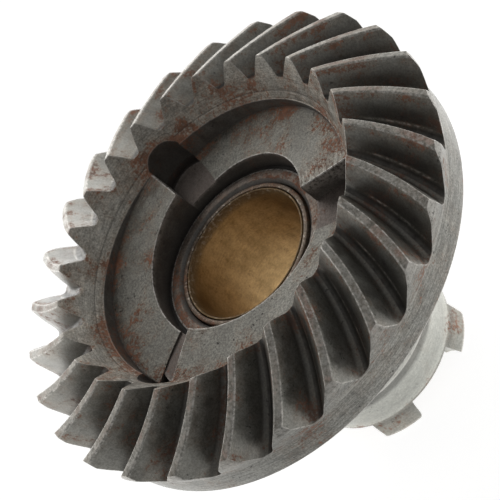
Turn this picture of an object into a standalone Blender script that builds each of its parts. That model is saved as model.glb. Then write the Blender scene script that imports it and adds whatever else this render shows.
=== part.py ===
"""Spiral bevel gear with ratchet drive ramps, a long bearing hub and a
steel-backed bronze bushing.

Frame: +Z is the gear's axis and points out of the toothed front, the origin is
on the bore's axis in the plane of the rear lugs' ends, and +X passes along the
high edge of one drive ramp.  Metres, real size.
"""

import math

import bmesh
import bpy

MM = 0.001

# ---- driving dimensions -------------------------------------------------
TEETH = 26
APEX_Z = 82.00 * MM            # common apex of the face and root cones
TOE_TIP_R, TOE_TIP_Z = 36.30 * MM, 65.30 * MM
TOE_ROOT_R, TOE_ROOT_Z = 33.78 * MM, 61.17 * MM
HEEL_TIP_R = 51.00 * MM
OD_LAND = 2.30 * MM            # cylindrical land behind the heel tips
BAND_FRONT_R, BAND_FRONT_Z = 49.01 * MM, 51.64 * MM
BAND_REAR_R, BAND_REAR_Z = 48.45 * MM, 45.14 * MM
BACK_Z = 44.50 * MM
SPIRAL_DEG = -30.5             # turn of a tooth per toe-tip radius it travels outwards
TOE_PHASE_DEG = 10.63          # first tooth's tip at the toe
TIP_LAND_DEG = 2.1             # width of a tooth's tip land
GAP_ROOT_HALF_DEG = 1.25

LIP_R, LIP_Z = 31.09 * MM, 57.26 * MM
RECESS_R = 30.86 * MM          # wall of the ratchet recess
RAMP_IN_R = 19.90 * MM
RAMP_HIGH_Z, RAMP_LOW_Z = 57.12 * MM, 52.36 * MM
RAMP_COUNT = 3
RAMP_SPAN_DEG = 101.0
SLOT_FLOOR_Z = 52.00 * MM
SLOT_OUT_R = 32.70 * MM
RING_Z, RING_R = 49.85 * MM, 19.00 * MM
GROOVE_Z = 49.30 * MM

BORE_R = 14.25 * MM
LINING_OUT_R = 14.60 * MM
BACKING_IN_R = 14.90 * MM
BACKING_OUT_R = 15.875 * MM
HUB_BORE_R = 16.175 * MM
BUSH_FRONT_Z, BUSH_REAR_Z = 49.80 * MM, 5.20 * MM

SHOULDER_R, SHOULDER_Z = 21.80 * MM, 16.10 * MM
JOURNAL_R = 19.20 * MM
HUB_END_Z = 4.70 * MM
LUG_COUNT = 5
LUG_OUT_R = 20.20 * MM
LUG_ROOT_DEG = (19.0, 50.0)    # one lug's sides where it leaves the hub
LUG_END_DEG = (21.5, 47.5)     # and at its end
LUG_CORNER_A = 0.60 * MM       # rounding of its end corners, first side
LUG_CORNER_B = 1.60 * MM       # and second side

STEPS = 78


def clear_scene():
    for obj in list(bpy.data.objects):
        bpy.data.objects.remove(obj, do_unlink=True)
    for mesh in list(bpy.data.meshes):
        bpy.data.meshes.remove(mesh)


def collection(name):
    made = bpy.data.collections.new(name)
    bpy.context.scene.collection.children.link(made)
    return made


def material(name, colour, roughness, metallic):
    made = bpy.data.materials.new(name)
    made.use_nodes = True
    shader = made.node_tree.nodes["Principled BSDF"]
    shader.inputs["Base Color"].default_value = (*colour, 1.0)
    shader.inputs["Roughness"].default_value = roughness
    shader.inputs["Metallic"].default_value = metallic
    made.diffuse_color = (*colour, 1.0)
    return made


def new_object(name, mesh, group, mat=None):
    obj = bpy.data.objects.new(name, mesh)
    group.objects.link(obj)
    if mat:
        mesh.materials.append(mat)
    return obj


def turned(name, profile, group, mat=None, steps=STEPS):
    """A closed (r, z) outline, outer side running down, revolved about Z."""
    mesh = bpy.data.meshes.new(name)
    count = len(profile)
    mesh.from_pydata(
        [(r, 0.0, z) for r, z in profile],
        [(i, (i + 1) % count) for i in range(count)],
        [],
    )
    obj = new_object(name, mesh, group, mat)
    screw = obj.modifiers.new("turn", "SCREW")
    screw.axis = "Z"
    screw.angle = math.tau
    screw.steps = steps
    screw.render_steps = steps
    screw.use_merge_vertices = True
    screw.merge_threshold = 0.00001
    screw.use_smooth_shade = False
    return obj


def arc(centre, radius, start_deg, end_deg, pieces):
    """Points on an arc in the (r, z) plane."""
    out = []
    for i in range(pieces + 1):
        a = math.radians(start_deg + (end_deg - start_deg) * i / pieces)
        out.append((centre[0] + radius * math.cos(a), centre[1] + radius * math.sin(a)))
    return out


def polar(r, deg, z):
    a = math.radians(deg)
    return (r * math.cos(a), r * math.sin(a), z)


def loft(bm, rings):
    """A closed tube of quads through rings of equal length, capped at both ends."""
    layers = [[bm.verts.new(p) for p in ring] for ring in rings]
    count = len(layers[0])
    for low, high in zip(layers, layers[1:]):
        for i in range(count):
            j = (i + 1) % count
            bm.faces.new((low[i], low[j], high[j], high[i]))
    bm.faces.new(layers[0][::-1])
    bm.faces.new(layers[-1])


def finish(bm, name, group):
    bmesh.ops.triangulate(bm, faces=bm.faces)
    bmesh.ops.recalc_face_normals(bm, faces=bm.faces)
    mesh = bpy.data.meshes.new(name)
    bm.to_mesh(mesh)
    bm.free()
    obj = new_object(name, mesh, group)
    obj.hide_render = True
    obj.display_type = "WIRE"
    return obj


def cut(obj, cutter):
    made = obj.modifiers.new(cutter.name, "BOOLEAN")
    made.operation = "DIFFERENCE"
    made.solver = "EXACT"
    made.object = cutter


# ---- tooth gaps ---------------------------------------------------------
def gap_half_angle(depth):
    """Half the gap's angle at a depth from 0 at the tips to 1 at the root."""
    tip = (360.0 / TEETH - TIP_LAND_DEG) / 2
    return tip - 4.95 * depth + 0.75 * depth * depth


def gap_outline():
    """(depth, angle) round one gap: open side, down one flank, root fillet, up."""
    side = [(-0.45, gap_half_angle(0.0) + 0.5), (0.0, gap_half_angle(0.0))]
    side += [(d, gap_half_angle(d)) for d in (0.33, 0.62, 0.86)]
    side += [(0.965, GAP_ROOT_HALF_DEG + 0.42), (1.0, GAP_ROOT_HALF_DEG - 0.25)]
    return side + [(d, -a) for d, a in reversed(side)]


def gap_cutters(group):
    """One tapered gap between each pair of teeth, following the spiral."""
    bm = bmesh.new()
    depth_r = TOE_ROOT_R - TOE_TIP_R
    depth_z = TOE_ROOT_Z - TOE_TIP_Z
    outline = gap_outline()
    stations = [0.86, 1.0, 1.11, 1.22, 1.33, 1.44, 1.58]
    for tooth in range(TEETH):
        middle = TOE_PHASE_DEG + (tooth + 0.5) * 360.0 / TEETH
        rings = []
        for scale in stations:
            turn = middle + SPIRAL_DEG * (scale - 1.0)
            ring = []
            for depth, angle in outline:
                r = scale * (TOE_TIP_R + depth * depth_r)
                z = APEX_Z + scale * (TOE_TIP_Z + depth * depth_z - APEX_Z)
                ring.append(polar(r, turn + angle, z))
            rings.append(ring)
        loft(bm, rings)
    return finish(bm, "cut_tooth_gaps", group)


# ---- ratchet recess -----------------------------------------------------
def ramp_cutters(group):
    """Three helical ramps that climb from a slot floor up to the recess lip."""
    bm = bmesh.new()
    slope = (RAMP_HIGH_Z - RAMP_LOW_Z) / RAMP_SPAN_DEG
    inner, top = RAMP_IN_R - 2.0 * MM, LIP_Z + 1.6 * MM
    pieces = 14
    for k in range(RAMP_COUNT):
        high = k * 360.0 / RAMP_COUNT
        rings = []
        for i in range(pieces + 1):
            turn = high - 1.3 + (RAMP_SPAN_DEG + 3.6) * i / pieces
            floor = RAMP_HIGH_Z - slope * max(0.0, turn - high)
            rings.append(
                [
                    polar(inner, turn, floor),
                    polar(RECESS_R, turn, floor),
                    polar(RECESS_R, turn, top),
                    polar(inner, turn, top),
                ]
            )
        loft(bm, rings)
    return finish(bm, "cut_ramps", group)


def slot_cutters(group):
    """A round-ended relief pocket under each ramp's drop wall."""
    bm = bmesh.new()
    for k in range(RAMP_COUNT):
        wall = k * 360.0 / RAMP_COUNT
        inner = RAMP_IN_R - 1.0 * MM
        a = polar(inner, wall - 0.1, 0.0)
        b = polar(SLOT_OUT_R - 1.3 * MM, wall + 0.9, 0.0)
        c = polar(SLOT_OUT_R - 1.3 * MM, wall - 14.9, 0.0)
        d = polar(inner, wall - 21.4, 0.0)
        plan = [a, b]
        for i in range(1, 8):
            share = i / 8.0
            turn = wall + 0.9 - 15.8 * share
            reach = SLOT_OUT_R - 1.3 * MM * abs(2 * share - 1.0) ** 2.6
            plan.append(polar(reach, turn, 0.0))
        plan += [c, d]
        loft(
            bm,
            [
                [(x, y, SLOT_FLOOR_Z) for x, y, _ in plan],
                [(x, y, TOE_TIP_Z) for x, y, _ in plan],
            ],
        )
    return finish(bm, "cut_slots", group)


# ---- rear lugs ----------------------------------------------------------
def corner_deg(z, radius):
    """How far a rounded end corner pulls a lug's side in at height z, in degrees."""
    rise = min(max(z, 0.0), radius)
    inset = radius - math.sqrt(radius**2 - (radius - rise) ** 2)
    return math.degrees(inset / LUG_OUT_R)


def lug_cutters(group):
    """The spaces between the lugs at the hub's rear end, with drafted sides."""
    bm = bmesh.new()
    step = 360.0 / LUG_COUNT
    low, inner, outer = -2.0 * MM, 12.0 * MM, 26.0 * MM
    draft = (LUG_END_DEG[0] - LUG_ROOT_DEG[0]) / HUB_END_Z
    draft_b = (LUG_ROOT_DEG[1] - LUG_END_DEG[1]) / HUB_END_Z
    for k in range(LUG_COUNT):
        rings = []
        for z in (low, 0.0, 0.25 * MM, 0.8 * MM, LUG_CORNER_B, HUB_END_Z):
            start = LUG_ROOT_DEG[1] - draft_b * (HUB_END_Z - z) + k * step
            start -= corner_deg(z, LUG_CORNER_B)
            end = LUG_ROOT_DEG[0] + draft * (HUB_END_Z - z) + (k + 1) * step
            end += corner_deg(z, LUG_CORNER_A)
            span = [start + (end - start) * i / 6.0 for i in range(7)]
            rings.append(
                [polar(inner, t, z) for t in span]
                + [polar(outer, t, z) for t in reversed(span)]
            )
        loft(bm, rings)
    return finish(bm, "cut_between_lugs", group)


def gear_body(group, cutters, mat):
    profile = [
        (HUB_BORE_R, RING_Z - 0.75 * MM),
        (HUB_BORE_R + 0.75 * MM, RING_Z),
        (RING_R, RING_Z),
        (RING_R + 0.12 * MM, GROOVE_Z),
        (RAMP_IN_R, GROOVE_Z),
        (RAMP_IN_R, LIP_Z),
        (LIP_R, LIP_Z),
        (TOE_TIP_R, TOE_TIP_Z),
        (HEEL_TIP_R, APEX_Z + HEEL_TIP_R / TOE_TIP_R * (TOE_TIP_Z - APEX_Z)),
        (HEEL_TIP_R, APEX_Z + HEEL_TIP_R / TOE_TIP_R * (TOE_TIP_Z - APEX_Z) - OD_LAND),
        (BAND_FRONT_R, BAND_FRONT_Z),
        (BAND_REAR_R, BAND_REAR_Z),
        (BAND_REAR_R - 0.7 * MM, BACK_Z),
        (42.0 * MM, BACK_Z),
        (28.4 * MM, 33.0 * MM),
    ]
    profile += arc((28.4 * MM, 26.4 * MM), 6.6 * MM, 96.0, 180.0, 5)
    profile += [
        (SHOULDER_R, SHOULDER_Z + 0.5 * MM),
        (SHOULDER_R - 0.5 * MM, SHOULDER_Z),
        (JOURNAL_R, SHOULDER_Z),
        (JOURNAL_R, HUB_END_Z + 0.6 * MM),
        (LUG_OUT_R, 0.8 * MM),
        (LUG_OUT_R - 0.6 * MM, 0.0),
        (HUB_BORE_R + 0.5 * MM, 0.0),
        (HUB_BORE_R, 0.5 * MM),
    ]
    body = turned("gear_body", profile, group, mat)
    for cutter in cutters:
        cut(body, cutter)
    return body


def bushing_layer(name, inner, outer, group, mat):
    chamfer = 0.12 * MM if outer - inner < 0.6 * MM else 0.35 * MM
    profile = [
        (inner, BUSH_FRONT_Z - 0.12 * MM),
        (inner + 0.12 * MM, BUSH_FRONT_Z),
        (outer - chamfer, BUSH_FRONT_Z),
        (outer, BUSH_FRONT_Z - chamfer),
        (outer, BUSH_REAR_Z + chamfer),
        (outer - chamfer, BUSH_REAR_Z),
        (inner + 0.12 * MM, BUSH_REAR_Z),
        (inner, BUSH_REAR_Z + 0.12 * MM),
    ]
    return turned(name, profile, group, mat, steps=72)


def main():
    clear_scene()
    parts = collection("spiral_bevel_gear")
    helpers = collection("cutters")
    steel = material("worn_steel", (0.19, 0.18, 0.165), 0.48, 0.75)
    backing_steel = material("bushing_steel", (0.36, 0.28, 0.22), 0.55, 0.6)
    bronze = material("bronze", (0.42, 0.27, 0.11), 0.34, 0.9)
    cutters = [
        gap_cutters(helpers),
        ramp_cutters(helpers),
        slot_cutters(helpers),
        lug_cutters(helpers),
    ]
    gear_body(parts, cutters, steel)
    bushing_layer("bushing_steel_backing", BACKING_IN_R, BACKING_OUT_R, parts, backing_steel)
    bushing_layer("bushing_bronze_lining", BORE_R, LINING_OUT_R, parts, bronze)


main()
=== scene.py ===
"""Finished look of the spiral bevel gear.

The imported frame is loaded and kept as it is.  Its three nodes are stood for by
finer pieces built here from the same dimensions: the gear body as one closed
quad grid that runs round the axis and round the section, and the two layers of
the bushing as turned rings.  Millimetres are used while the shapes are worked
out, and metres in the meshes.
"""

import math

import bpy
import numpy as np
from mathutils import Matrix, Vector


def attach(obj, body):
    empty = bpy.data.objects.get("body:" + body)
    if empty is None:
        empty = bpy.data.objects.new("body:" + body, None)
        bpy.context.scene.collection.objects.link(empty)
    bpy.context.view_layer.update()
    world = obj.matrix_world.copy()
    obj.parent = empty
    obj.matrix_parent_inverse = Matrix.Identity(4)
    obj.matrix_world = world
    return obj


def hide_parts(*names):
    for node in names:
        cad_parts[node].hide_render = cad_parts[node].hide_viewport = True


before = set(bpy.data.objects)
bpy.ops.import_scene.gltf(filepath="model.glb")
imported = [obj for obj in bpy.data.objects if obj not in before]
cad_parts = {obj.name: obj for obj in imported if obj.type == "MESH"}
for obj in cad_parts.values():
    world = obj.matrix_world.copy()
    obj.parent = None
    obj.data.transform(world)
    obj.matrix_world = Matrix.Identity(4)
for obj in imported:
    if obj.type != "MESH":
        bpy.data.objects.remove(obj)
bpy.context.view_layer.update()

# ---- dimensions, in millimetres and degrees -------------------------------
TEETH = 26
PITCH = 360.0 / TEETH
APEX_Z = 82.0
TIP_R, TIP_Z = 36.30, 65.30
ROOT_R, ROOT_Z = 33.78, 61.17
HEEL_R = 51.0
LAND_END_Z = 56.24
BAND_FRONT = (49.01, 51.64)
BAND_REAR = (48.45, 45.14)
SPIRAL = -30.5
PHASE = 10.63
TIP_LAND = 2.1
LIP_R, LIP_Z = 31.09, 57.26
RECESS_R = 30.86
RAMP_IN_R = 19.90
RAMP_HIGH, RAMP_SLOPE = 57.12, 0.047129
SLOT_FLOOR = 52.0
GROOVE_Z = 49.30
HUB_BORE_R = 16.175
HUB_END = 4.70
BORE_R, LINING_R = 14.25, 14.60
BACKING_IN, BACKING_OUT = 14.90, 15.875
BUSH_FRONT, BUSH_REAR = 49.80, 5.20
TOE_SLOPE = (TIP_Z - LIP_Z) / (TIP_R - LIP_R)


# ---- the gear body's grid --------------------------------------------------
def gap_half(depth):
    """Half the angle of a tooth gap at a depth from 0 at the tips to 1 at the root."""
    return (PITCH - TIP_LAND) / 2 - 4.95 * depth + 0.75 * depth * depth


def pitch_profile():
    """(angle from the gap's middle, depth, arris, painted shade at the root, rust) from one tip land's middle to the
    next.
    """
    tip = gap_half(0.0)
    half = [
        # the tip lands' arrises are lightened: partly wear, partly a painted highlight
        (PITCH / 2, 0.0, 0.52, 0.0, 0.60),
        (tip + 0.50, 0.0, 0.52, 0.0, 0.55),
        (tip + 0.20, 0.0, 0.55, 0.0, 0.45),
        (tip + 0.05, 0.006, 0.85, 0.0, 0.0),
        (gap_half(0.030), 0.030, 0.75, 0.0, 0.1),
    ]
    half += [(gap_half(d), d, 0.0, 0.0, 0.15 * (d < 0.2)) for d in (0.09, 0.18, 0.29, 0.41, 0.53, 0.65, 0.76)]
    # the root fillet and the root are darkened: painted shade at the bottom of the gap
    half += [(gap_half(0.85), 0.85, 0.0, 0.2, 0.1)]
    ax, ay = gap_half(0.85), 0.85
    for s in (0.34, 0.67, 1.0):
        x = (1 - s) ** 2 * ax + 2 * s * (1 - s) * 1.50 + s * s * 0.85
        y = (1 - s) ** 2 * ay + 2 * s * (1 - s) * 1.0 + s * s * 1.0
        half.append((x, y, 0.0, 0.7, 0.2))
    half += [(0.40, 1.0, 0.0, 0.5, 0.3)]
    first = [(-a, *rest) for a, *rest in half]
    # the flank that carried the load has a rubbed line above its root and a brown film below its tip
    second = []
    for a, d, e, g, rust in reversed(half[1:]):
        if d == 0.85:
            e, g = 0.62, 0.0
        if 0.02 < d < 0.25:
            rust += 0.55
        if 0.5 < d < 0.9:
            rust += 0.45
        second.append((a, d, e, g, rust))
    return first + [(0.0, 1.0, 0.0, 0.4, 0.3)] + second


profile = pitch_profile()
PER = len(profile)
COLS = PER * TEETH
local = np.array(profile * TEETH)
tooth = np.repeat(np.arange(TEETH), PER)
A_TOOTH = PHASE + (tooth + 0.5) * PITCH + local[:, 0]
DEPTH = local[:, 1]
ARRIS = local[:, 2]
ROOT_SHADE = local[:, 3]
RUST = local[:, 4]
ROOT = np.clip((DEPTH - 0.8) / 0.2, 0, 1)
A_EVEN = PHASE + 360.0 * np.arange(COLS) / COLS
EPS = 0.02


def snapped(angles, targets, third=None):
    """A copy of rising angles in which two neighbours stand either side of each target."""
    out = angles.copy()
    for t in targets:
        while t < angles[0] + 1.0:
            t += 360.0
        j = int(np.searchsorted(angles, t)) - 1
        out[j % COLS] = t - EPS
        out[(j + 1) % COLS] = t + EPS
        if third:
            out[(j + 2) % COLS] = t + third
    return out


# The recess: in each third of a turn a slot from -18 to 0 and a ramp from 0 to 102.
SLOT_BASE = 18.0
A_RECESS = snapped(
    snapped(A_EVEN, [k * 120.0 for k in range(3)], third=0.45),
    [k * 120.0 - SLOT_BASE for k in range(3)],
)
IN_SLOT = np.mod(A_RECESS, 120.0) > 120.0 - SLOT_BASE
HIGH_EDGE = np.mod(A_RECESS, 120.0) < 0.1
HIGH_NEAR = np.mod(A_RECESS, 120.0) < 0.6


def slot_wall(r):
    return -0.1 + (min(max(r, 18.9), 31.4) - 18.9) / 12.5


def slot_start(r):
    return -21.4 + (min(max(r, 18.9), 31.4) - 18.9) / 12.5 * 6.5


def recess_angles(r):
    """Column angles at radius r, with the slots' two sides in their places."""
    base, now = [], []
    for k in range(-1, 6):
        base += [k * 120.0 - SLOT_BASE, k * 120.0]
        now += [k * 120.0 + slot_start(r), k * 120.0 + slot_wall(r)]
    return np.interp(A_RECESS, base, now)


def ramp_z(angles, r):
    turn = np.mod(angles - slot_wall(r), 120.0)
    turn = np.where(turn > 112.0, 0.0, turn)
    z = RAMP_HIGH - RAMP_SLOPE * turn - np.where(HIGH_EDGE, 0.20, 0.0)
    return np.where(IN_SLOT, SLOT_FLOOR, z)


share = np.clip((np.mod(A_RECESS, 120.0) - (120.0 - SLOT_BASE)) / SLOT_BASE, 0, 1)
REACH = 32.7 - 1.3 * np.abs(2 * share - 1.0) ** 2.6
WALL_R = np.where(IN_SLOT, REACH, RECESS_R)
WALL_TOP = np.where(WALL_R > LIP_R, LIP_Z + TOE_SLOPE * (WALL_R - LIP_R), LIP_Z)

rows = []


def row(r, z, angle, mat, edge=0.0, painted_shade_and_dirt=0.0, rust=0.0):
    """One ring of the grid: mat is for the faces between it and the next, and painted_shade_and_dirt darkens it, mostly
    as painted shade in corners, recesses and gaps, with a little dirt.
    """
    rows.append([np.broadcast_to(np.asarray(v, float), (COLS,)) for v in (r, z, angle, edge, painted_shade_and_dirt, rust, mat)])


TOE, FLANK, RAMP, WALL, BAND, HUB, RING, SLOT, LUG = range(9)
# In the recess the faces across a slot's sides are walls, and those within it are its floor.
SIDE = IN_SLOT != np.roll(IN_SLOT, -1)
FLOOR = np.where(SIDE, WALL, np.where(IN_SLOT, SLOT, RAMP))

# front ring and groove round the bushing
# the bore's mouth and the groove's floor beyond the ring are darkened: painted shade
row(16.175, 49.05, A_EVEN, WALL, 0.0, 0.6)
row(16.93, 49.80, A_EVEN, RING, 0.25, 0.2, 0.5)
row(17.10, 49.85, A_EVEN, RING, 0.1, 0, 0.5)
row(18.55, 49.85, A_EVEN, RING, 0.1, 0.05, 0.5)
# a painted highlight line round the ring's outer arris
row(18.84, 49.85, A_EVEN, RING, 1.0, 0, 0.6)
row(19.02, 49.73, A_EVEN, WALL, 1.0, 0, 0.6)
row(19.12, 49.30, A_EVEN, WALL, 0.0, 1.0)

# inner wall of the ramps
C = 0.15
a_in = recess_angles(RAMP_IN_R)
z_in = ramp_z(a_in, RAMP_IN_R)
# painted shade at the foot of the inner wall, fading up it
for s in (0.0, 0.5, 1.0):
    row(RAMP_IN_R, GROOVE_Z + (z_in - C - GROOVE_Z) * s, a_in, WALL, 0.5 * (s == 1), {0.0: 1.0, 0.5: 0.4, 1.0: 0.15}[s])
# a light line along the ramps' inner edge, partly wear and partly a painted highlight
row(RAMP_IN_R + 0.29 * C, z_in - 0.29 * C, a_in, FLOOR, np.where(IN_SLOT, 0.1, 0.8))
row(RAMP_IN_R + C, z_in, a_in, FLOOR, np.where(IN_SLOT, 0.1, 0.5))

# ramp and slot floors
wear_front = np.where(HIGH_NEAR & ~IN_SLOT, 0.9, 0.0)
height = WALL_TOP - ramp_z(recess_angles(RECESS_R), RECESS_R)
corner = np.minimum(0.30, 0.4 * height)
# each slot's floor ends in a rounded tongue, with a deeper pit beyond it
ACROSS = np.clip((((A_RECESS + SLOT_BASE) % 120.0) - SLOT_BASE / 2) / (SLOT_BASE / 2), -1, 1)
TONGUE_R = 29.8 - 1.5 * ACROSS**2
for s in (0.0, 0.1, 0.2, 0.31, 0.42, 0.53, 0.64, 0.75, 0.86, 0.95, 1.0):
    inner = RAMP_IN_R + 0.55
    r = inner + (WALL_R - corner - inner) * s
    mid = inner + (RECESS_R - inner) * s
    ang = recess_angles(mid)
    pit, arris = 0.0, 0.0
    if s in (0.64, 0.75):
        r = np.where(IN_SLOT, np.minimum(TONGUE_R, WALL_R - corner - 0.6) + 0.12 * (1 if s == 0.75 else -1), r)
    if s > 0.7:
        pit = np.where(IN_SLOT, 1.0, 0.0)
    if s == 0.64:
        arris = np.where(IN_SLOT, 0.45, 0.0)
    # the pit beyond each tongue and the foot of a tall outer wall are darkened: painted shade
    row(r, ramp_z(ang, mid) - 1.5 * pit, ang, FLOOR, np.maximum(wear_front, arris),
        np.maximum(0.5 * (s == 1.0) * (height > 0.6), 0.75 * pit),
        np.where(IN_SLOT, 0.0, np.where(height > 0.3, 0.8 * max(0.0, (s - 0.6) / 0.4), 0.35 * s)))
a_out = recess_angles(RECESS_R)
z_out = ramp_z(a_out, RECESS_R)
# painted shade in the corner at the outer wall's foot
row(WALL_R - 0.29 * corner, z_out + 0.29 * corner, a_out, WALL, 0, 0.8 * (height > 0.6), 0.8)

# outer wall and lip
lip_c = np.minimum(0.10, 0.3 * height)
# the slots' walls are darkened all the way up and the other walls at their foot: painted shade
for s in (0.0, 0.5, 1.0):
    row(WALL_R, z_out + corner + (WALL_TOP - lip_c - z_out - corner) * s, a_out, WALL,
        0.3 * (s == 1), np.where(IN_SLOT, 0.6, 0.4 * (s == 0)), np.where(IN_SLOT, 0.0, 0.55))
row(WALL_R + lip_c, WALL_TOP, a_out, TOE, 0.45, 0, 1.0)
toe_r = np.maximum(LIP_R, WALL_R + 0.22)
toe_z = LIP_Z + TOE_SLOPE * (toe_r - LIP_R)
row(toe_r, toe_z, a_out, TOE, 0.15, 0, 1.0)
# a narrow band outside the lip, ended by a shallow turned line
room = np.minimum(1.0, 0.75 * (33.5 - toe_r) / 1.10)
# the turned line's groove is darkened through painted_shade_and_dirt
for out_by, sink, edge, painted_shade_and_dirt in ((0.45, 0.0, 0.0, 0.0), (0.86, 0.0, 0.3, 0.0), (0.98, 0.09, 0.0, 0.7), (1.10, 0.0, 0.2, 0.0)):
    r = toe_r + out_by * room
    row(r, LIP_Z + TOE_SLOPE * (r - LIP_R) - sink * room, a_out, TOE, edge, painted_shade_and_dirt, 0.9 - 0.3 * out_by)
toe_r = toe_r + 1.10 * room

# toe face, out to the tooth section
R_D = TIP_R + DEPTH * (ROOT_R - TIP_R)
Z_D = TIP_Z + DEPTH * (ROOT_Z - TIP_Z)
K_TOE = (APEX_Z - LIP_Z + TOE_SLOPE * LIP_R) / ((APEX_Z - Z_D) + TOE_SLOPE * R_D)
K_HEEL = np.minimum(
    HEEL_R / R_D,
    (HEEL_R + 0.4326 * (APEX_Z - LAND_END_Z)) / (R_D + 0.4326 * (APEX_Z - Z_D)),
)


def on_tooth(k):
    return k * R_D, APEX_Z + k * (Z_D - APEX_Z), A_TOOTH + SPIRAL * (k - 1.0)


r_t, z_t, a_t = on_tooth(K_TOE)
E = 0.15
r_edge = r_t - E / math.hypot(1, TOE_SLOPE)
for s in (0.20, 0.40, 0.60, 0.80, 1.0):
    r = toe_r + (r_edge - toe_r) * s
    row(r, LIP_Z + TOE_SLOPE * (r - LIP_R), a_out + (a_t - a_out) * s, TOE,
        0.45 * (s == 1) * (1 - ROOT), 0, 0.25 + 0.6 * ROOT * s)
k0 = K_TOE + E / 40.0
r_n, z_n, a_n = on_tooth(k0)
z_edge = LIP_Z + TOE_SLOPE * (r_edge - LIP_R)
# the arris round the tooth's toe end is lightened: partly wear, partly a painted highlight
row(
    r_t + 0.29 * ((r_edge - r_t) + (r_n - r_t)),
    z_t + 0.29 * ((z_edge - z_t) + (z_n - z_t)),
    a_t + 0.29 * (a_n - a_t),
    FLANK,
    0.9 * (1 - 0.8 * ROOT),
    0,
    0.6 * ROOT,
)

# teeth, from toe to heel
k1 = K_HEEL - E / 40.0
N_LONG = 20
# painted light: the painted shade in the gaps is weaker on the side of the gear where the light falls across the flanks
LIT_SIDE = -109.0
LIT_SHARE = np.clip(np.cos(np.radians(A_TOOTH - LIT_SIDE)), 0, 1) ** 1.5
for i in range(N_LONG):
    s = i / (N_LONG - 1.0)
    k = k0 + (k1 - k0) * s
    r, z, a = on_tooth(k)
    ends = 0.2 * (i in (0, N_LONG - 1)) * (1 - ROOT)
    line = (0.15 + 0.85 * min(1.0, max(0.0, (s - 0.12) / 0.2))) * (0.3 + 0.7 * min(1.0, (1 - s) / 0.15))
    arris = np.where(DEPTH == 0.85, ARRIS * line, ARRIS)
    near_toe = max(0.0, 1 - s / 0.18)
    row(r, z, a, FLANK, np.maximum(arris, ends), ROOT_SHADE * (1 - 0.5 * s), RUST + near_toe * 0.5 * (0.4 + ROOT))
    # painted shade down the flanks into the gaps, deepest near the root and along the tooth's middle; the other flank
    # gets a quarter of it
    along = min(1.0, 0.55 + 1.2 * s) * (1 - 0.35 * max(0.0, (s - 0.8) / 0.2))
    shade = 0.95 * along * np.clip((DEPTH - 0.06) * 2.1, 0, 1) * np.where(local[:, 0] > 0, 1.0, 0.25) * (1 - 0.85 * LIT_SHARE)
    rows[-1][4] = np.clip(rows[-1][4] + shade * (1 - rows[-1][3]), 0, 1)

# heel: the outer land, then the back cone down to the band
r_e, z_e, a_e = on_tooth(K_HEEL)
land = np.maximum(0.0, z_e - LAND_END_Z)
land[r_e < HEEL_R - 1e-6] = 0.0
has_land = land > 0.12
cone_from_r = np.where(has_land, HEEL_R, r_e)
cone_from_z = np.where(has_land, LAND_END_Z, z_e)
cone = np.hypot(cone_from_r - BAND_FRONT[0], cone_from_z - BAND_FRONT[1])
total = np.where(has_land, land, 0.0) + cone
off = np.minimum(E, 0.3 * total)


def heel_point(length):
    """(r, z) at a length down each column's heel path."""
    on_land = has_land & (length <= land)
    s = np.clip((length - np.where(has_land, land, 0.0)) / np.maximum(cone, 1e-9), 0, 1)
    r = np.where(on_land, HEEL_R, cone_from_r + (BAND_FRONT[0] - cone_from_r) * s)
    z = np.where(on_land, z_e - length, cone_from_z + (BAND_FRONT[1] - cone_from_z) * s)
    return r, z


r_h, z_h = heel_point(off)
r_k, z_k, a_k = on_tooth(k1)
# the arris round the tooth's heel end is lightened: partly wear, partly a painted highlight
row(
    r_e + 0.29 * ((r_k - r_e) + (r_h - r_e)),
    z_e + 0.29 * ((z_k - z_e) + (z_h - z_e)),
    a_e + 0.29 * (a_k - a_e),
    BAND,
    0.9 * (1 - 0.5 * ROOT),
)
A_REAR = A_EVEN - 13.0
cr = np.minimum(0.08, 0.3 * land)
stops_land = [off, land - cr, land + cr] + [land + cone * s for s in (0.2, 0.45, 0.7, 0.93, 1.0)]
stops_cone = [off] + [off + (cone - off) * s for s in (0.12, 0.25, 0.4, 0.55, 0.7, 0.93, 1.0)]
for i in range(8):
    length = np.where(has_land, stops_land[i], stops_cone[i])
    r, z = heel_point(length)
    s = max(0.0, (i - 2) / 16.0)
    edge = (0.5, np.where(has_land, 0.45, 0), np.where(has_land, 0.45, 0), 0, 0, 0, 0.1, 0.5)[i]
    row(r, z, a_e + (A_REAR - a_e) * s, BAND, edge, 0, 0.55 if 2 < i < 7 else 0.2)

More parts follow.
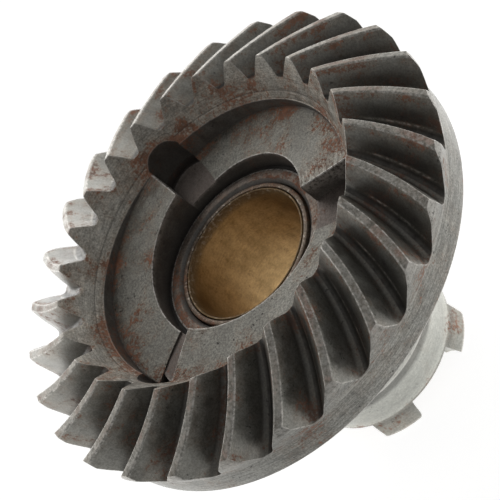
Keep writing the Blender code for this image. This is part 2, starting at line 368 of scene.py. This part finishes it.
# outer band, back face, web and hub
REAR = [
    (49.00, 51.45, BAND, 0.4, 0),
    (48.86, 49.8, BAND, 0, 0),
    (48.65, 47.4, BAND, 0, 0),
    (48.46, 45.30, BAND, 0.3, 0),
    (48.36, 45.02, BAND, 0.8, 0),
    (47.85, 44.56, BAND, 0.6, 0),
    (47.60, 44.50, BAND, 0.2, 0),
    (44.8, 44.50, BAND, 0, 0),
    (42.2, 44.46, BAND, 0, 0),
    # the corner into the web and the fillet are darkened: painted shade
    (41.6, 44.15, HUB, 0, 0.3),
    (37.2, 40.45, HUB, 0, 0),
    (32.8, 36.72, HUB, 0, 0),
]
for t in (96, 108, 122, 138, 158, 180):
    REAR.append((28.4 + 6.6 * math.cos(math.radians(t)), 26.4 + 6.6 * math.sin(math.radians(t)), HUB, 0, 0.2))
REAR += [
    (21.8, 21.5, HUB, 0, 0),
    (21.8, 16.75, HUB, 0.2, 0),
    (21.68, 16.30, HUB, 0.8, 0),
    (21.3, 16.10, HUB, 0.5, 0),
    (19.45, 16.10, HUB, 0, 0),
    (19.2, 15.85, HUB, 0, 0),
    (19.2, 14.2, HUB, 0, 0),
    # a painted shadow band round the journal, below the shoulder
    (19.2, 13.4, HUB, 0, 0.6),
    (19.2, 12.3, HUB, 0, 0.6),
    (19.2, 11.3, HUB, 0, 0),
    (19.2, 7.5, HUB, 0, 0.2),
]
for i, (r, z, mat, edge, painted_shade_and_dirt) in enumerate(REAR):
    s = min(1.0, 6 / 16.0 + i / 12.0)
    row(r, z, a_e + (A_REAR - a_e) * s, mat, edge, painted_shade_and_dirt)

# rear lugs: each runs from 19 to 50 degrees at its root in each fifth of a turn
A_LUG = snapped(A_REAR, [k * 72.0 + t for k in range(5) for t in (19.0, 50.0)])
turn = np.mod(A_LUG - 19.0, 72.0)
IN_LUG = (turn > 0) & (turn < 31.0)
LUG_PATH = [
    (19.20, 5.35), (19.36, 4.5), (19.66, 3.2), (19.94, 1.9), (20.10, 1.2), (20.16, 0.75),
    (20.05, 0.35), (19.72, 0.08), (19.3, 0.0), (18.0, 0.0), (16.85, 0.0), (16.35, 0.10),
    (16.18, 0.5), (16.175, 5.0),
]
GAP_PATH = [
    (19.20, 5.35), (19.20, 5.1), (19.18, 4.9), (19.10, 4.76), (18.95, 4.70), (18.6, 4.70),
    (18.3, 4.70), (18.0, 4.70), (17.7, 4.70), (17.3, 4.70), (16.8, 4.70), (16.4, 4.70),
    (16.25, 4.74), (16.175, 5.0),
]


def corner_turn(z, radius):
    """How far a rounded end corner pulls a lug's side in at height z, in degrees."""
    rise = min(z, radius)
    return math.degrees((radius - math.sqrt(radius**2 - (radius - rise) ** 2)) / 20.2)


for i, (on_lug, off_lug) in enumerate(zip(LUG_PATH, GAP_PATH)):
    drop = max(0.0, HUB_END - on_lug[1]) * 2.5 / HUB_END
    base, now = [], []
    for k in range(-2, 8):
        base += [k * 72.0 + 19.0, k * 72.0 + 50.0]
        now += [
            k * 72.0 + 19.0 + drop + corner_turn(on_lug[1], 0.6),
            k * 72.0 + 50.0 - drop - corner_turn(on_lug[1], 1.6),
        ]
    drafted = np.interp(A_LUG, base, now)
    edge = 0.5 if i in (5, 6, 7, 11) else 0.0
    row(
        np.where(IN_LUG, on_lug[0], off_lug[0]),
        np.where(IN_LUG, on_lug[1], off_lug[1]),
        np.where(IN_LUG, drafted, A_LUG),
        LUG,
        np.where(IN_LUG, edge, 0.0),
        0.3 if i == 1 else 0.0,
        0.5 if i < 3 else 0.2,
    )
for s in (0.33, 0.66):
    row(HUB_BORE_R, 5.0 + 44.05 * s, A_REAR + 13.0 * s, RING)


def grid_object(name, rings, materials):
    """One closed mesh from rings of equal length that close on themselves."""
    n, m = len(rings), len(rings[0][0])
    r = np.array([ring[0] for ring in rings])
    z = np.array([ring[1] for ring in rings])
    a = np.radians(np.array([ring[2] for ring in rings]))
    points = np.stack([r * np.cos(a), r * np.sin(a), z], axis=-1).reshape(-1, 3) * 0.001
    i, j = np.meshgrid(np.arange(n), np.arange(m), indexing="ij")
    i2, j2 = (i + 1) % n, (j + 1) % m
    quads = np.stack([i * m + j, i * m + j2, i2 * m + j2, i2 * m + j], axis=-1).reshape(-1, 4)
    p = points[quads]
    volume = np.einsum("ij,ij->i", p[:, 0], np.cross(p[:, 1], p[:, 2])).sum()
    volume += np.einsum("ij,ij->i", p[:, 0], np.cross(p[:, 2], p[:, 3])).sum()
    if volume < 0:
        quads = quads[:, ::-1]
    mesh = bpy.data.meshes.new(name)
    mesh.from_pydata(points.tolist(), [], quads.tolist())
    for mat in materials:
        mesh.materials.append(mat)
    mesh.polygons.foreach_set("material_index", np.array([ring[6] for ring in rings], np.int32).ravel())
    for key, index in (("edge", 3), ("painted_shade_and_dirt", 4), ("rust", 5)):
        layer = mesh.attributes.new(key, "FLOAT", "POINT")
        layer.data.foreach_set("value", np.array([ring[index] for ring in rings], np.float32).ravel())
    mesh.update()
    mesh.shade_smooth()
    mesh.set_sharp_from_angle(angle=math.radians(38))
    obj = bpy.data.objects.new(name, mesh)
    bpy.context.scene.collection.objects.link(obj)
    return obj


# ---- materials -------------------------------------------------------------
class Net:
    """A short way to write a material's nodes."""

    def __init__(self, name):
        self.mat = bpy.data.materials.new(name)
        self.mat.use_nodes = True
        self.tree = self.mat.node_tree
        self.shader = self.tree.nodes["Principled BSDF"]
        self.place = self.add("ShaderNodeTexCoord").outputs["Object"]

    def add(self, kind, **settings):
        node = self.tree.nodes.new(kind)
        for key, value in settings.items():
            setattr(node, key, value)
        return node

    def put(self, value, socket):
        if isinstance(value, bpy.types.NodeSocket):
            self.tree.links.new(value, socket)
        elif isinstance(value, tuple) and len(value) == 3 and socket.type == "RGBA":
            socket.default_value = (*value, 1.0)
        else:
            socket.default_value = value

    def math(self, operation, a, b=None, c=None, clamp=False):
        node = self.add("ShaderNodeMath", operation=operation, use_clamp=clamp)
        for value, socket in zip((a, b, c), node.inputs):
            if value is not None:
                self.put(value, socket)
        return node.outputs[0]

    def noise(self, vector, scale, detail=4.0, rough=0.55, warp=0.0):
        node = self.add("ShaderNodeTexNoise")
        self.put(vector, node.inputs["Vector"])
        node.inputs["Scale"].default_value = scale
        node.inputs["Detail"].default_value = detail
        node.inputs["Roughness"].default_value = rough
        node.inputs["Distortion"].default_value = warp
        return node.outputs["Fac"]

    def span(self, value, low, high, to_low=0.0, to_high=1.0):
        node = self.add("ShaderNodeMapRange", interpolation_type="SMOOTHSTEP")
        for v, key in zip((value, low, high, to_low, to_high), ("Value", "From Min", "From Max", "To Min", "To Max")):
            self.put(v, node.inputs[key])
        return node.outputs["Result"]

    def mix(self, fac, a, b, blend="MIX"):
        node = self.add("ShaderNodeMix", data_type="RGBA", blend_type=blend)
        self.put(fac, node.inputs[0])
        self.put(a, node.inputs[6])
        self.put(b, node.inputs[7])
        return node.outputs[2]

    def attribute(self, name):
        return self.add("ShaderNodeAttribute", attribute_name=name).outputs["Fac"]

    def vector(self, x, y, z):
        node = self.add("ShaderNodeCombineXYZ")
        for value, socket in zip((x, y, z), node.inputs):
            self.put(value, socket)
        return node.outputs[0]

    def parts(self, vector):
        node = self.add("ShaderNodeSeparateXYZ")
        self.put(vector, node.inputs[0])
        return node.outputs

    def polar(self):
        """(radius, angle in radians, height) of the shaded point about the gear's axis."""
        x, y, z = self.parts(self.place)
        r = self.math("SQRT", self.math("ADD", self.math("MULTIPLY", x, x), self.math("MULTIPLY", y, y)))
        return r, self.math("ARCTAN2", y, x), z

    def bump(self, height, distance, strength=1.0, normal=None):
        node = self.add("ShaderNodeBump")
        node.inputs["Strength"].default_value = strength
        node.inputs["Distance"].default_value = distance
        self.put(height, node.inputs["Height"])
        if normal is not None:
            self.put(normal, node.inputs["Normal"])
        return node.outputs[0]


def steel(name, light, dark, rust=0.5, rough=0.46, metal=0.8, turned=0.0, edge_tone=(0.62, 0.59, 0.55),
          edge_gain=1.0, rust_tone=(0.185, 0.074, 0.037), pits=0.5, scratch=0.0, grain=1.0,
          wear_and_highlight_patches=(0.36, 0.56)):
    """Old, lightly rusted machined steel, with painted shade from painted_shade_and_dirt and light arrises that are
    partly wear and partly a painted highlight.
    """
    net = Net(name)
    r, angle, z = net.polar()
    fine = net.noise(net.place, 2600.0, 3.0, 0.7)
    mottle = net.noise(net.place, 420.0, 5.0, 0.68)
    cloud = net.noise(net.place, 70.0, 4.0, 0.6)
    tone = net.math("ADD", net.math("MULTIPLY", mottle, 0.62), net.math("MULTIPLY", cloud, 0.38))
    colour = net.mix(net.span(tone, 0.34, 0.66), dark, light)
    # fine salt-and-pepper grain
    speck = net.span(fine, 0.36, 0.64, 1.0 - 0.38 * grain, 1.0 + 0.34 * grain)
    colour = net.mix(1.0, colour, speck, "MULTIPLY")
    # circular tool marks about the axis
    lines = net.noise(net.vector(net.math("MULTIPLY", r, 5200.0), net.math("MULTIPLY", angle, 9.0), net.math("MULTIPLY", z, 3200.0)), 1.0, 3.0, 0.6)
    if turned:
        colour = net.mix(turned, colour, net.span(lines, 0.33, 0.67, 0.55, 1.55), "MULTIPLY")
    # dark pits
    pit_field = net.noise(net.place, 1150.0, 2.0, 0.5)
    pit = net.math("MULTIPLY", net.span(pit_field, 0.655, 0.70), net.span(net.noise(net.place, 210.0, 2.0), 0.46, 0.60, 0.0, pits))
    colour = net.mix(pit, colour, (0.022, 0.019, 0.017))
    # rust in patches, broken up finely
    patch = net.noise(net.place, 130.0, 4.0, 0.6, 0.4)
    broken = net.noise(net.place, 1500.0, 4.0, 0.72)
    field = net.math("ADD", net.math("MULTIPLY", patch, 0.52), net.math("MULTIPLY", broken, 0.48))
    field = net.math("ADD", field, net.math("MULTIPLY", net.attribute("rust"), 0.080))
    low = 0.602 - 0.062 * rust
    red = net.math("MULTIPLY", net.span(field, low, low + 0.055), min(1.0, 0.55 + 0.4 * rust))
    red_tone = net.mix(net.span(net.noise(net.place, 500.0, 4.0, 0.7), 0.35, 0.65), rust_tone, tuple(min(1.0, c * 1.9) for c in rust_tone))
    film = net.math("MULTIPLY", net.span(net.math("ADD", patch, net.math("MULTIPLY", net.attribute("rust"), 0.16)), 0.42, 0.66), 0.75 * rust)
    colour = net.mix(film, colour, (0.98, 0.83, 0.72), "MULTIPLY")
    colour = net.mix(red, colour, red_tone)
    # painted shade in corners, recesses and tooth gaps, with a little dirt, from painted_shade_and_dirt
    painted_shade_and_dirt = net.math("MULTIPLY", net.attribute("painted_shade_and_dirt"), net.span(mottle, 0.25, 0.75, 0.70, 1.0))
    colour = net.mix(painted_shade_and_dirt, colour, (0.035, 0.031, 0.028))
    # light arrises: partly rubbed wear, partly a painted highlight
    wear_and_highlight_patch = net.span(net.noise(net.place, 1500.0, 4.0, 0.68), *wear_and_highlight_patches)
    edge = net.math("MULTIPLY", net.math("MULTIPLY", net.span(net.attribute("edge"), 0.22, 0.80), wear_and_highlight_patch), edge_gain, clamp=True)
    colour = net.mix(edge, colour, edge_tone)
    if scratch:
        # rub marks along the run of the ramp, just past its high edge
        local_turn = net.math("MODULO", net.math("ADD", net.math("MULTIPLY", angle, 180.0 / math.pi), 720.0), 120.0)
        marks = net.noise(net.vector(net.math("MULTIPLY", local_turn, 0.12), net.math("MULTIPLY", r, 1500.0), 0.0), 1.0, 3.0, 0.6)
        near = net.math("MULTIPLY", net.span(local_turn, 5.0, 24.0, 1.0, 0.0), net.span(cloud, 0.40, 0.56, 0.1, 1.0))
        shine = net.math("MULTIPLY", net.math("MULTIPLY", net.span(marks, 0.53, 0.64), near), 0.75 * scratch)
        scar = net.math("MULTIPLY", net.math("MULTIPLY", net.span(marks, 0.47, 0.38), near), scratch)
        colour = net.mix(scar, colour, (0.085, 0.052, 0.036))
        colour = net.mix(shine, colour, (0.44, 0.415, 0.37))
        edge = net.math("MAXIMUM", edge, net.math("MULTIPLY", shine, 0.5))
    net.put(colour, net.shader.inputs["Base Color"])
    roughness = net.math("ADD", net.span(mottle, 0.3, 0.7, rough - 0.07, rough + 0.09), net.math("MULTIPLY", red, 0.32))
    roughness = net.math("SUBTRACT", roughness, net.math("MULTIPLY", edge, 0.12), clamp=True)
    net.put(roughness, net.shader.inputs["Roughness"])
    net.put(net.math("MULTIPLY", net.math("SUBTRACT", 1.0, net.math("MAXIMUM", red, net.math("MULTIPLY", painted_shade_and_dirt, 0.45))), metal), net.shader.inputs["Metallic"])
    relief = net.math("ADD", net.math("MULTIPLY", fine, 0.45), net.math("MULTIPLY", mottle, 0.8))
    relief = net.math("SUBTRACT", relief, net.math("MULTIPLY", pit, 1.2))
    relief = net.math("ADD", relief, net.math("MULTIPLY", red, 0.5))
    if turned:
        relief = net.math("ADD", relief, net.math("MULTIPLY", lines, 1.2 * turned))
    net.put(net.bump(relief, 0.00010, 0.55 * grain), net.shader.inputs["Normal"])
    return net.mat


def bronze():
    """Bearing bronze, run in: soft streaks round and along the bore."""
    net = Net("bronze_lining")
    r, angle, z = net.polar()
    along = net.noise(net.vector(net.math("MULTIPLY", angle, 7.0), net.math("MULTIPLY", z, 260.0), 0.0), 1.0, 4.0, 0.6)
    rings = net.noise(net.vector(net.math("MULTIPLY", angle, 2.0), net.math("MULTIPLY", z, 5200.0), net.math("MULTIPLY", r, 2000.0)), 1.0, 3.0, 0.6)
    cloud = net.noise(net.place, 130.0, 4.0, 0.6)
    fine = net.noise(net.place, 2400.0, 3.0, 0.65)
    colour = net.mix(net.span(net.math("ADD", net.math("MULTIPLY", along, 0.5), net.math("MULTIPLY", cloud, 0.5)), 0.34, 0.66), (0.255, 0.170, 0.076), (0.43, 0.292, 0.136))
    colour = net.mix(1.0, colour, net.span(fine, 0.35, 0.65, 0.86, 1.12), "MULTIPLY")
    colour = net.mix(0.5, colour, net.span(rings, 0.35, 0.65, 0.85, 1.15), "MULTIPLY")
    rim = net.attribute("edge")
    flecks = net.noise(net.place, 1100.0, 3.0, 0.65)
    colour = net.mix(net.math("MULTIPLY", rim, 0.75), colour, net.mix(net.span(flecks, 0.35, 0.60), (0.075, 0.042, 0.026), (0.20, 0.125, 0.075)))
    colour = net.mix(net.math("MULTIPLY", rim, net.span(flecks, 0.545, 0.63, 0.0, 0.8)), colour, (0.66, 0.58, 0.46))
    stain = net.math("MULTIPLY", net.span(net.noise(net.place, 700.0, 4.0, 0.7), 0.60, 0.68), 0.45)
    colour = net.mix(stain, colour, (0.13, 0.075, 0.032))
    net.put(colour, net.shader.inputs["Base Color"])
    net.put(net.math("SUBTRACT", 0.9, net.math("MULTIPLY", rim, 0.7), clamp=True), net.shader.inputs["Metallic"])
    net.put(net.math("ADD", net.span(cloud, 0.3, 0.7, 0.36, 0.50), net.math("MULTIPLY", rim, 0.3)), net.shader.inputs["Roughness"])
    net.put(net.bump(net.math("ADD", net.math("MULTIPLY", rings, 0.7), net.math("MULTIPLY", fine, 0.4)), 0.00006, 0.5), net.shader.inputs["Normal"])
    return net.mat


TENT_GAIN = 2.6
TENT_STOPS = ((0.00, 0.95), (0.26, 0.62), (0.46, 0.29), (0.62, 0.165), (0.85, 0.11))


def tent_strength(tree, direction, lens_way, side_way):
    """Brightness of a white tent lit from behind the object: dim round the lens, bright away from it."""
    dot = tree.nodes.new("ShaderNodeVectorMath")
    dot.operation = "DOT_PRODUCT"
    tree.links.new(direction, dot.inputs[0])
    dot.inputs[1].default_value = lens_way
    share = tree.nodes.new("ShaderNodeMath")
    share.operation = "MULTIPLY_ADD"
    share.inputs[1].default_value = share.inputs[2].default_value = 0.5
    tree.links.new(dot.outputs["Value"], share.inputs[0])
    stops = tree.nodes.new("ShaderNodeValToRGB")
    stops.color_ramp.interpolation = "EASE"
    while len(stops.color_ramp.elements) < len(TENT_STOPS):
        stops.color_ramp.elements.new(0.5)
    for element, (at, value) in zip(stops.color_ramp.elements, TENT_STOPS):
        element.position = at
        element.color = (value, value, value, 1.0)
    tree.links.new(share.outputs[0], stops.inputs[0])
    gain = tree.nodes.new("ShaderNodeMath")
    gain.operation = "MULTIPLY"
    gain.inputs[1].default_value = TENT_GAIN
    tree.links.new(stops.outputs[0], gain.inputs[0])
    side = tree.nodes.new("ShaderNodeVectorMath")
    side.operation = "DOT_PRODUCT"
    tree.links.new(direction, side.inputs[0])
    side.inputs[1].default_value = side_way
    lift = tree.nodes.new("ShaderNodeMapRange")
    lift.interpolation_type = "SMOOTHSTEP"
    tree.links.new(side.outputs["Value"], lift.inputs["Value"])
    for key, value in (("From Min", 0.25), ("From Max", 1.0), ("To Min", 0.0), ("To Max", 0.45)):
        lift.inputs[key].default_value = value
    both = tree.nodes.new("ShaderNodeMath")
    both.operation = "ADD"
    tree.links.new(gain.outputs[0], both.inputs[0])
    tree.links.new(lift.outputs["Result"], both.inputs[1])
    return both.outputs[0]


def pale_floor(lens_way, side_way):
    """A pale table: to the lens an almost even white, and to the object a part of the tent."""
    net = Net("pale_floor")
    speck = net.noise(net.place, 30.0, 3.0, 0.5)
    net.put(net.mix(net.span(speck, 0.3, 0.7), (0.36, 0.36, 0.36), (0.40, 0.40, 0.395)), net.shader.inputs["Base Color"])
    net.shader.inputs["Roughness"].default_value = 0.8
    net.shader.inputs["Specular IOR Level"].default_value = 0.0
    net.shader.inputs["Emission Color"].default_value = (1.0, 1.0, 1.0, 1.0)
    net.shader.inputs["Emission Strength"].default_value = 0.88
    way = net.add("ShaderNodeVectorMath", operation="SUBTRACT")
    net.put(net.place, way.inputs[0])
    way.inputs[1].default_value = (0.0, 0.0, 0.045)
    unit = net.add("ShaderNodeVectorMath", operation="NORMALIZE")
    net.put(way.outputs[0], unit.inputs[0])
    glow = net.add("ShaderNodeEmission")
    net.put(tent_strength(net.tree, unit.outputs[0], lens_way, side_way), glow.inputs["Strength"])
    both = net.add("ShaderNodeMixShader")
    net.put(net.add("ShaderNodeLightPath").outputs["Is Camera Ray"], both.inputs[0])
    net.put(glow.outputs[0], both.inputs[1])
    net.put(net.shader.outputs[0], both.inputs[2])
    net.put(both.outputs[0], net.tree.nodes["Material Output"].inputs["Surface"])
    return net.mat


# one steel throughout; the hub's lighter tone is painted light for the bright backdrop it reflects, and the darker
# front ring, recess walls and slot floor are painted shade
MATERIALS = [
    steel("steel_toe_face", (0.52, 0.50, 0.45), (0.285, 0.265, 0.23), rust=0.72, rough=0.50, metal=0.72, turned=0.40, grain=0.8),
    steel("steel_tooth", (0.40, 0.393, 0.356), (0.23, 0.221, 0.196), rust=0.60, rough=0.42, metal=0.80, pits=0.6, grain=0.5,
          edge_tone=(0.66, 0.63, 0.58), wear_and_highlight_patches=(0.40, 0.62)),
    steel("steel_ramp", (0.28, 0.272, 0.24), (0.155, 0.147, 0.128), rust=0.78, rough=0.50, metal=0.72, turned=0.10, scratch=0.75, grain=0.9, pits=0.9),
    steel("steel_recess_wall_painted_shade", (0.235, 0.22, 0.20), (0.125, 0.115, 0.105), rust=0.45, rough=0.55, metal=0.60, grain=0.5),
    steel("steel_rim", (0.375, 0.37, 0.34), (0.225, 0.22, 0.197), rust=0.40, rough=0.46, metal=0.78, turned=0.50, pits=0.8, grain=0.7),
    steel("steel_hub_painted_light", (0.53, 0.535, 0.49), (0.41, 0.41, 0.372), rust=0.20, rough=0.48, metal=0.70, turned=0.15, pits=0.4, grain=0.3),
    steel("steel_front_ring_painted_shade", (0.25, 0.215, 0.185), (0.14, 0.115, 0.097), rust=0.80, rough=0.48, metal=0.70, turned=0.30, grain=0.7),
    steel("steel_slot_floor_painted_shade", (0.19, 0.16, 0.142), (0.108, 0.09, 0.079), rust=0.25, rough=0.52, metal=0.65, turned=0.15, grain=0.6),
    steel("steel_lug", (0.36, 0.36, 0.325), (0.25, 0.245, 0.22), rust=0.40, rough=0.48, metal=0.70, turned=0.15, pits=0.5, grain=0.4),
]
gear = grid_object("gear_body_surface", rows, MATERIALS)


def ring_object(name, outline, materials, steps=256):
    """A turned ring from (r, z, edge, material) points, closed on itself."""
    angles = 360.0 * np.arange(steps) / steps
    rings = [
        [np.full(steps, r), np.full(steps, z), angles, np.full(steps, e), np.zeros(steps), np.zeros(steps), np.full(steps, m)]
        for r, z, e, m in outline
    ]
    return grid_object(name, rings, materials)


def ring_outline(inner, outer, chamfer):
    """Bore, rear end, outside and front end of a bushing layer, finely divided."""
    c, e = chamfer, 0.12
    points = [(inner, BUSH_FRONT - e, 0.8), (inner + 0.3 * e, BUSH_FRONT - 0.3 * e, 1.0), (inner + e, BUSH_FRONT, 0.8),
              (outer - c, BUSH_FRONT, 0.4), (outer - 0.3 * c, BUSH_FRONT - 0.3 * c, 0.3), (outer, BUSH_FRONT - c, 0.0)]
    points += [(outer, BUSH_FRONT + (BUSH_REAR - BUSH_FRONT) * s, 0.0) for s in (0.25, 0.5, 0.75)]
    points += [(outer, BUSH_REAR + c, 0.0), (outer - c, BUSH_REAR, 0.3), (inner + e, BUSH_REAR, 0.8), (inner, BUSH_REAR + e, 0.8)]
    points += [(inner, BUSH_REAR + (BUSH_FRONT - BUSH_REAR) * s, 0.0) for s in (0.06, 0.2, 0.35, 0.5, 0.65, 0.8, 0.94)]
    return [(r, z, e2, 0) for r, z, e2 in points]


backing = ring_object(
    "bushing_backing_surface",
    ring_outline(BACKING_IN, BACKING_OUT, 0.35),
    [steel("bushing_steel", (0.24, 0.19, 0.145), (0.10, 0.072, 0.054), rust=1.0, rough=0.48, metal=0.6, turned=0.2,
           edge_tone=(0.60, 0.54, 0.45), edge_gain=1.3, rust_tone=(0.20, 0.085, 0.045), grain=0.8, wear_and_highlight_patches=(0.54, 0.66))],
)
lining = ring_object("bushing_lining_surface", ring_outline(BORE_R, LINING_R, 0.10), [bronze()])

for piece, node, slot in (
    (gear, "gear_body", "gear_steel"),
    (backing, "bushing_steel_backing", "bushing_steel"),
    (lining, "bushing_bronze_lining", "bronze"),
):
    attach(piece, "root")
    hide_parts(node)

# ---- floor, light and camera ----------------------------------------------
CAMERA_AT = Vector((0.10632, 0.22745, 0.25624))
CAMERA_TO = Vector((-0.00103, 0.00049, 0.04885))
CAMERA_ROLL = math.radians(54.333)
LENS = 117.75

floor_mesh = bpy.data.meshes.new("floor")
floor_mesh.from_pydata([(-3, -3, 0), (3, -3, 0), (3, 3, 0), (-3, 3, 0)], [], [(0, 1, 2, 3)])
floor = bpy.data.objects.new("floor", floor_mesh)
floor.location.z = -0.0001
bpy.context.scene.collection.objects.link(floor)

ahead = (CAMERA_TO - CAMERA_AT).normalized()
level_right = ahead.cross(Vector((0, 0, 1))).normalized()
level_up = level_right.cross(ahead)
up = level_up * math.cos(CAMERA_ROLL) + level_right * math.sin(CAMERA_ROLL)
right = ahead.cross(up)
data = bpy.data.cameras.new("camera")
data.sensor_width = 36.0
data.lens = LENS
data.clip_start = 0.01
camera = bpy.data.objects.new("camera", data)
bpy.context.scene.collection.objects.link(camera)
focus = bpy.data.objects.new("focus_point", None)
focus.location = (0.020, 0.017, 0.057)
bpy.context.scene.collection.objects.link(focus)
data.dof.use_dof = True
data.dof.focus_object = focus
data.dof.aperture_fstop = 72.0
floor_mesh.materials.append(pale_floor(tuple(-ahead), tuple(right)))
camera.matrix_world = Matrix((
    (right.x, up.x, -ahead.x, CAMERA_AT.x),
    (right.y, up.y, -ahead.y, CAMERA_AT.y),
    (right.z, up.z, -ahead.z, CAMERA_AT.z),
    (0, 0, 0, 1),
))
bpy.context.scene.camera = camera

# a white tent that is open, and so darker, round the camera
world = bpy.data.worlds.new("tent")
bpy.context.scene.world = world
world.use_nodes = True
tree = world.node_tree
tree.nodes.clear()
place = tree.nodes.new("ShaderNodeTexCoord").outputs["Generated"]
seen = tree.nodes.new("ShaderNodeLightPath").outputs["Is Camera Ray"]
choose = tree.nodes.new("ShaderNodeMix")
tree.links.new(seen, choose.inputs[0])
tree.links.new(tent_strength(tree, place, tuple(-ahead), tuple(right)), choose.inputs[2])
choose.inputs[3].default_value = 1.25
background = tree.nodes.new("ShaderNodeBackground")
tree.links.new(choose.outputs[0], background.inputs["Strength"])
output = tree.nodes.new("ShaderNodeOutputWorld")
tree.links.new(background.outputs[0], output.inputs["Surface"])


def softbox(name, direction, distance, size, power):
    """A square area light aimed at the middle of the gear."""
    lamp = bpy.data.lights.new(name, "AREA")
    lamp.size = size
    lamp.energy = power
    obj = bpy.data.objects.new(name, lamp)
    middle = Vector((0, 0, 0.04))
    obj.location = middle + direction.normalized() * distance
    obj.rotation_euler = (middle - obj.location).to_track_quat("-Z", "Y").to_euler()
    bpy.context.scene.collection.objects.link(obj)
    return obj


softbox("softbox_left", -right * 1.0 + up * 0.9 + ahead * 0.3, 0.6, 0.45, 0.5)

scene = bpy.context.scene
scene.view_settings.view_transform = "Standard"
scene.view_settings.look = "None"
scene.view_settings.exposure = 0.0
